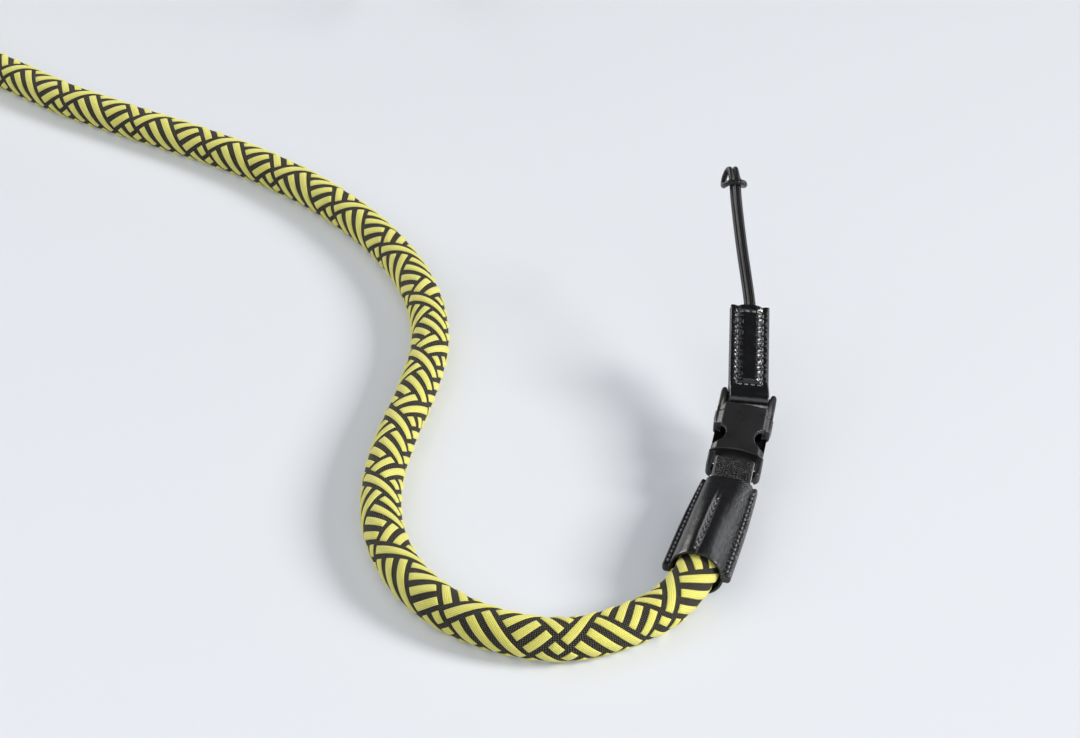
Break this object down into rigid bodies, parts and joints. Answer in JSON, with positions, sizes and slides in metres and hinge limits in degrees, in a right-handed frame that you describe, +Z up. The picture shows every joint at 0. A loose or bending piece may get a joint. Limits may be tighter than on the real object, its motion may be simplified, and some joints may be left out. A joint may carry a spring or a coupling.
{
  "type": "rope camera neck strap",
  "caption": "Round plaited rope neck strap with leather end caps, side-release buckles, sewn leather tabs and thin hitched loop cords.",
  "frame": {"origin": "the eye that the near loop cord is hitched round, which holds that end up; the rope lies 41 mm below it", "axes": "+Z up; +Y runs from the near U bend of the rope towards the wide far end of the loop; +X to the right of that"},
  "size_m": [0.2559, 0.4617, 0.0437],
  "materials": {
    "rope_plait": "woven yellow bands over black, in a basket plait",
    "cap_leather": "glossy black leather, stitched",
    "tab_leather": "glossy black leather, stitched",
    "grained_strap": "pebble-grained black leather",
    "buckle_plastic": "satin black moulded plastic",
    "loop_cord": "glossy black braided cord"
  },
  "bodies": {
    "root": {"rope": "rope_plait", "near_rope_cap": "cap_leather", "near_cap_strap": "grained_strap", "near_buckle_socket": "buckle_plastic", "near_buckle_plug": "buckle_plastic", "near_tab": "tab_leather", "near_loop_cord": "loop_cord", "far_rope_cap": "cap_leather", "far_cap_strap": "grained_strap", "far_buckle": "buckle_plastic", "far_tab": "tab_leather", "far_loop_cord": "loop_cord"}
  },
  "joints": []
}
